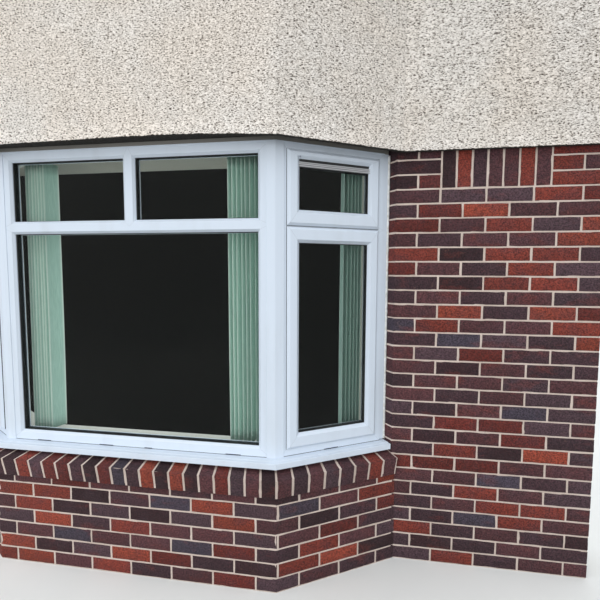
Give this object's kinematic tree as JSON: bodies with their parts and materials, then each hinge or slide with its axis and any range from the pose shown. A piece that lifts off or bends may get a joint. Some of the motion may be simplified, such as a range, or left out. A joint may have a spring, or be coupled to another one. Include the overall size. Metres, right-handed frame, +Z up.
{
  "type": "bay window",
  "caption": "Three-sided splayed bay window in white plastic frames, on a brick dwarf wall with a brick sill, under rendered upper walls, with the brick wall beside it.",
  "frame": {"origin": "on the ground, at the middle of the footprint", "axes": "+X to the right seen from outside, +Y into the room, +Z up"},
  "size_m": [4.724, 0.6636, 3.1],
  "materials": {
    "brick": "red and plum facing brick, matt",
    "render": "cream roughcast render",
    "frame_plastic": "white satin window plastic",
    "glass": "clear sealed unit",
    "vent_grey": "grey ridged vent",
    "sealant": "white silicone",
    "blind_fabric": "sage green stiffened fabric",
    "rail_metal": "white painted aluminium",
    "handle": "white gloss",
    "board": "white painted timber board",
    "plaster": "painted plasterboard"
  },
  "bodies": {
    "root": {"bay_ceiling": "plaster", "blind_rails": "rail_metal", "front_brick_sill": "brick", "front_cill": "frame_plastic", "front_frame": "frame_plastic", "front_lower_glass": "glass", "front_plinth": "brick", "front_upper_glass": "glass", "front_upper_wall": "render", "front_vanes": "blind_fabric", "head_extension": "frame_plastic", "left_bay_upper_wall": "render", "left_brick_sill": "brick", "left_casement_glass": "glass", "left_casement_sash": "frame_plastic", "left_cill": "frame_plastic", "left_corner_post": "frame_plastic", "left_extender": "frame_plastic", "left_fanlight_glass": "glass", "left_fanlight_sash": "frame_plastic", "left_frame": "frame_plastic", "left_handles": "handle", "left_plinth": "brick", "left_upper_wall": "render", "left_vanes": "blind_fabric", "left_wall": "brick", "right_bay_upper_wall": "render", "right_brick_sill": "brick", "right_casement_glass": "glass", "right_casement_sash": "frame_plastic", "right_cill": "frame_plastic", "right_corner_post": "frame_plastic", "right_extender": "frame_plastic", "right_fanlight_glass": "glass", "right_fanlight_sash": "frame_plastic", "right_frame": "frame_plastic", "right_handles": "handle", "right_plinth": "brick", "right_upper_wall": "render", "right_vanes": "blind_fabric", "right_wall": "brick", "sealant_joints": "sealant", "trickle_vents": "vent_grey", "window_board": "board"}
  },
  "joints": []
}
